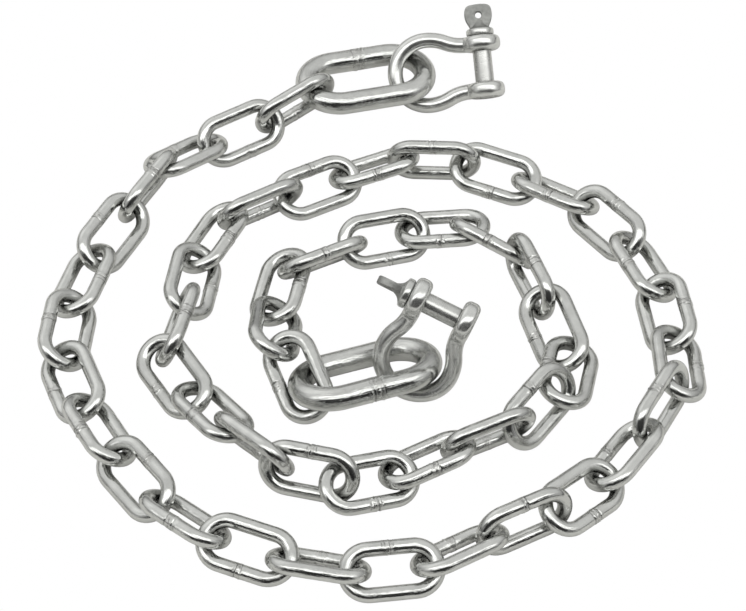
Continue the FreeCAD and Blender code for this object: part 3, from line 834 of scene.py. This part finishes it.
# --------------------------------------------------------------------- stage
def make_floor(half_width=4.0, drop=0.0004):
    """Pale floor that the camera does not see."""
    mesh = bpy.data.meshes.new("floor")
    corners = [(x * half_width, y * half_width, 0) for x, y in ((-1, -1), (1, -1), (1, 1), (-1, 1))]
    mesh.from_pydata(corners, [], [(0, 1, 2, 3)])
    ob = link_object("floor", mesh)
    ob.location = (0, 0, -drop)
    material = bpy.data.materials.new("pale_floor")
    material.use_nodes = True
    g = Graph(material.node_tree)
    surface = g.nodes["Principled BSDF"]
    g.feed(surface.inputs["Base Color"], (0.84, 0.835, 0.81))
    g.feed(surface.inputs["Roughness"], 0.9)
    g.feed(surface.inputs["Emission Color"], (1.0, 0.985, 0.95))
    g.feed(surface.inputs["Emission Strength"], 0.0)
    # light passes the floor from below, so a length of chain that hangs lower
    # than the floor at a joint's limit is lit like the rest
    backfacing = g.add("NewGeometry").outputs["Backfacing"]
    clear = g.add("BsdfTransparent")
    shader = g.mix_shader(backfacing, surface.outputs[0], clear.outputs[0])
    g.feed(g.nodes["Material Output"].inputs[0], shader)
    mesh.materials.append(material)
    ob.visible_camera = False


def make_world():
    """Grey room with a dark band in front, a bright strip above it and a soft
    glow at the back left. The camera itself sees plain white."""
    world = bpy.data.worlds.new("studio")
    bpy.context.scene.world = world
    world.use_nodes = True
    g = Graph(world.node_tree)
    g.nodes.clear()
    output = g.add("OutputWorld")
    texture = g.add("TexCoord")
    split = g.add("SeparateXYZ")
    direction = g.add("VectorMath", operation="NORMALIZE")
    g.feed(direction.inputs[0], texture.outputs["Generated"])
    g.feed(split.inputs[0], direction.outputs[0])
    x, y, z = (split.outputs[axis] for axis in "XYZ")

    def smooth(source, span, to=(0.0, 1.0)):
        return g.remap(source, span, to, curve="SMOOTHSTEP")

    value = smooth(z, span=(-0.02, 0.70), to=(0.33, 0.75))      # brighter upward
    # degrees in the YZ plane: 0 at the front horizon, 90 overhead
    forward = g.scale(y, by=-1.0)
    angle = g.scale(g.math("ARCTAN2", z, forward), by=180.0 / math.pi)
    sideways = g.math("ABSOLUTE", x, 0.0)

    def band(start, end, soft, side_limit, side_soft):
        rise = smooth(angle, span=(start - soft, start + soft))
        fall = smooth(angle, span=(end - soft, end + soft), to=(1.0, 0.0))
        side = smooth(sideways, span=(side_limit - side_soft, side_limit + side_soft),
                      to=(1.0, 0.0))
        return g.math("MULTIPLY", g.math("MULTIPLY", rise, fall), side)

    dark = band(start=-1.0, end=53.0, soft=2.5, side_limit=0.76, side_soft=0.18)
    value = g.math("MULTIPLY", value, g.math("SUBTRACT", 1.0, g.scale(dark, by=0.93)))
    strip = band(start=55.5, end=79.0, soft=2.5, side_limit=0.80, side_soft=0.15)
    value = g.math("ADD", value, g.scale(strip, by=1.25))
    glow = g.add("VectorMath", operation="DOT_PRODUCT")
    glow.inputs[1].default_value = Vector((-0.55, 0.60, 0.58)).normalized()
    g.feed(glow.inputs[0], direction.outputs[0])
    value = g.math("ADD", value, smooth(glow.outputs["Value"], span=(0.80, 1.0), to=(0.0, 0.25)))
    # a narrow dark line just above the horizon
    line_height = 0.03
    from_line = g.math("ABSOLUTE", g.math("SUBTRACT", z, line_height))
    value = g.math("MULTIPLY", value, smooth(from_line, span=(0.0, 0.12), to=(0.25, 1.0)))

    room = g.add("Background")
    colour = g.add("CombineColor")
    g.feed(colour.inputs[0], value)
    g.feed(colour.inputs[1], g.scale(value, by=1.003))
    g.feed(colour.inputs[2], g.scale(value, by=0.985))
    g.feed(room.inputs[0], colour.outputs[0])
    white = g.add("Background")
    g.feed(white.inputs[0], (1, 1, 1))
    g.feed(white.inputs[1], 1.0)
    camera_ray = g.add("LightPath").outputs["Is Camera Ray"]
    g.feed(output.inputs[0], g.mix_shader(camera_ray, room.outputs[0], white.outputs[0]))


def make_camera(lens, elevation, distance, target):
    """Camera in front of and above the target; elevation in radians."""
    camera = bpy.data.cameras.new("camera")
    camera.sensor_fit = "HORIZONTAL"
    camera.sensor_width = 36.0
    camera.lens = lens
    camera.clip_start = 0.01
    camera.clip_end = 20.0
    ob = link_object("camera", camera)
    towards = Vector((0, -math.cos(elevation), math.sin(elevation)))
    ob.location = Vector(target) + towards * distance
    ob.rotation_euler = (math.pi / 2 - elevation, 0, 0)
    bpy.context.scene.camera = ob


def set_view():
    view = bpy.context.scene.view_settings
    view.view_transform = "Standard"
    view.look = "None"
    view.exposure = 0.0
    view.gamma = 1.0


build_chain()
make_floor()
make_world()
make_camera(lens=111.650, elevation=0.87400, distance=0.98996,
            target=(0.000755, -0.000069, 0.000354))
set_view()
